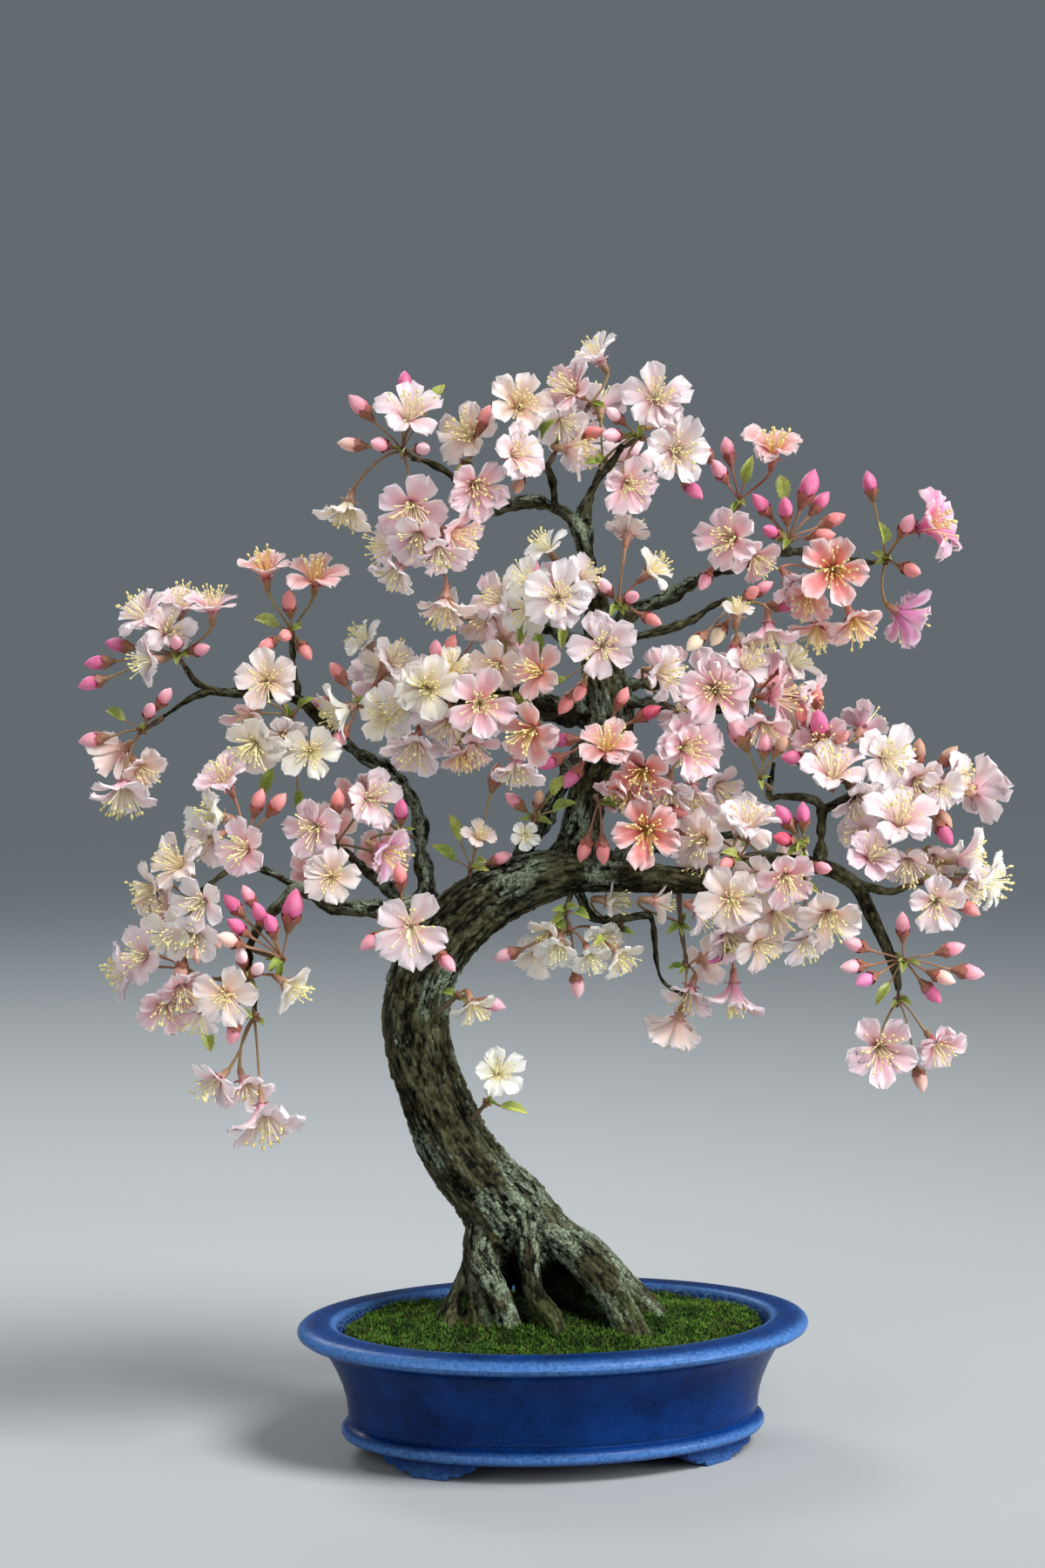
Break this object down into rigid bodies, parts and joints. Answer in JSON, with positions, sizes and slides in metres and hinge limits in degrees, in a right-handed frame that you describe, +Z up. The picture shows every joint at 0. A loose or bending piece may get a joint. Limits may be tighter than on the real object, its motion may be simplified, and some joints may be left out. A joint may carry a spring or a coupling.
{
  "type": "cherry blossom bonsai",
  "caption": "Cherry blossom bonsai: a leaning trunk with spreading roots, flowering limbs and leaves, standing in moss in a glazed oval pot with a flared rim and bracket feet.",
  "frame": {"origin": "on the surface that the pot's feet stand on, under the middle of the whole object, which is the middle of the pot", "axes": "+Z up; +X along the oval pot's long axis; +Y away from the tree's front"},
  "size_m": [0.4049, 0.1769, 0.4967],
  "materials": {
    "glaze": "semi-gloss blue glaze",
    "soil": "damp crumbly soil",
    "moss": "soft moss",
    "bark": "rough fissured bark",
    "blush_blossom": "soft petals",
    "pink_blossom": "soft petals",
    "peach_blossom": "soft petals",
    "white_blossom": "soft petals",
    "cream_blossom": "soft petals",
    "coral_blossom": "soft petals",
    "rose_blossom": "soft petals"
  },
  "bodies": {
    "root": {"pot": "glaze", "soil": "soil", "moss": "moss", "trunk": "bark", "spray_crown_far_left": "blush_blossom", "spray_crown_left": "pink_blossom", "spray_crown_drooping": "blush_blossom", "spray_crown_high_left": "peach_blossom", "spray_crown_top": "white_blossom", "spray_crown_right": "pink_blossom", "spray_centre_high": "white_blossom", "spray_centre_upright": "cream_blossom", "spray_centre_front": "blush_blossom", "spray_left_inner": "coral_blossom", "spray_left_centre": "peach_blossom", "spray_left_outer": "cream_blossom", "spray_left_upright": "coral_blossom", "spray_left_hanging": "peach_blossom", "spray_left_tip_high": "blush_blossom", "spray_left_tip_low": "peach_blossom", "spray_lower_left_upper": "pink_blossom", "spray_lower_left_middle": "peach_blossom", "spray_lower_left_inner": "blush_blossom", "spray_lower_left_outer_high": "pink_blossom", "spray_lower_left_outer": "peach_blossom", "spray_lower_left_low": "pink_blossom", "spray_lower_left_tip": "rose_blossom", "spray_lower_left_fan": "rose_blossom", "spray_trunk_low": "white_blossom", "spray_trunk_middle": "cream_blossom", "spray_shoulder": "peach_blossom", "spray_second_stem": "pink_blossom", "spray_trunk_front": "coral_blossom", "spray_trunk_front_low": "coral_blossom", "spray_right_inner": "pink_blossom", "spray_right_outer": "pink_blossom", "spray_right_twig": "rose_blossom", "spray_upper_right_inner": "pink_blossom", "spray_upper_right_fan": "rose_blossom", "spray_upper_right_hanging": "coral_blossom", "spray_upper_right_tip": "rose_blossom", "spray_right_high": "blush_blossom", "spray_right_outer_high": "blush_blossom", "spray_right_middle": "pink_blossom", "spray_right_outer_low": "white_blossom", "spray_right_limb_outer": "peach_blossom", "spray_right_limb_middle": "peach_blossom", "spray_right_limb_hanging": "rose_blossom", "spray_right_limb_inner": "peach_blossom", "spray_right_branch_tip": "pink_blossom", "spray_right_tip": "rose_blossom", "spray_right_tip_fan": "rose_blossom", "spray_under_limb_left": "cream_blossom", "spray_under_limb_right": "cream_blossom", "spray_back_crown": "blush_blossom", "spray_back_upper": "pink_blossom", "spray_back_right": "pink_blossom", "spray_back_left": "blush_blossom", "spray_back_lower_right": "peach_blossom", "spray_back_lower_left": "coral_blossom"}
  },
  "joints": []
}
